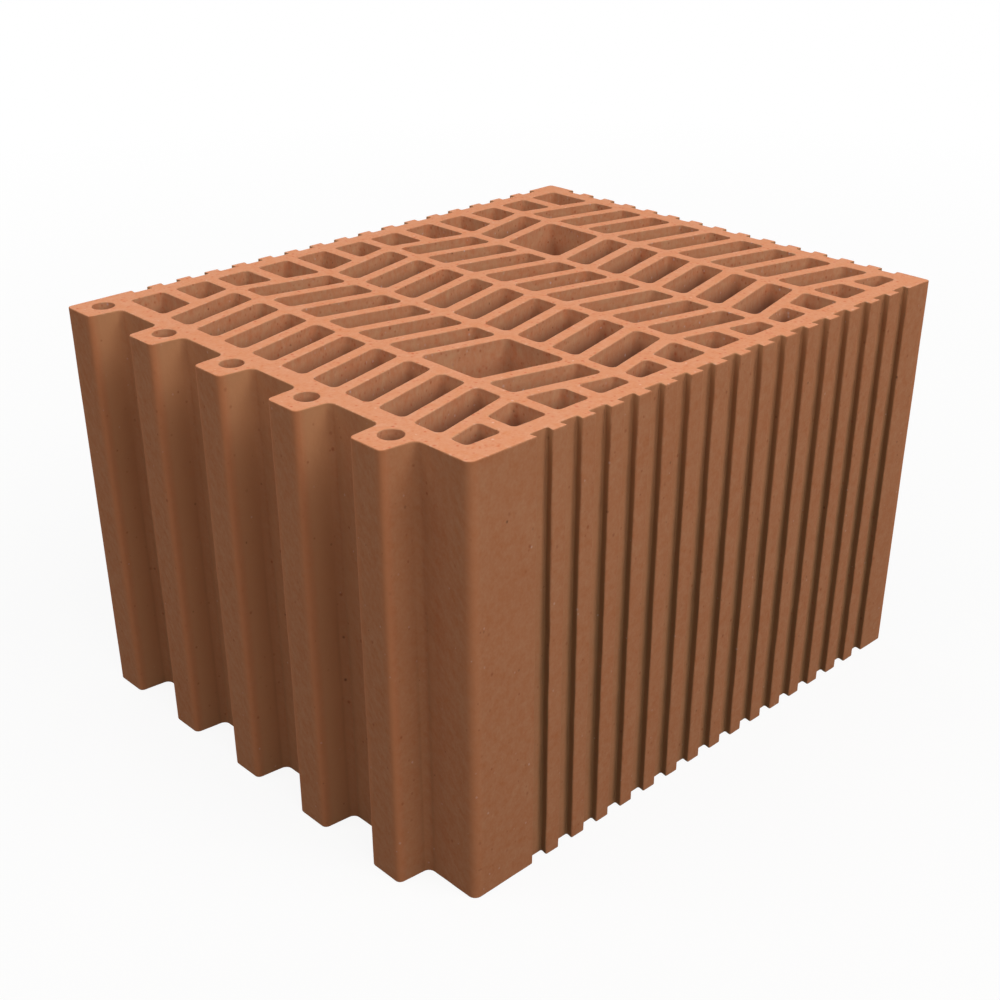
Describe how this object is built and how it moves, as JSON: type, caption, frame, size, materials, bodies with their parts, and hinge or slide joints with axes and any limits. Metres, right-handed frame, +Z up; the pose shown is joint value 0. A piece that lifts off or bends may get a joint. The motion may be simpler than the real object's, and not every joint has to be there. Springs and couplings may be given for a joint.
{
  "type": "thermal clay block",
  "caption": "Hollow fired clay wall block with slanted cells, grip holes, vertical tongues on one head face and dovetail plaster grooves on the other sides.",
  "frame": {"origin": "centre of the bounding box on the lower bed face, which rests on the floor", "axes": "+X along the block, from the tongued head face to the grooved one; +Y through the wall; +Z up along the cells"},
  "size_m": [0.3, 0.24, 0.19],
  "materials": {
    "fired_clay": "matte"
  },
  "bodies": {
    "root": {"clay_block": "fired_clay"}
  },
  "joints": []
}
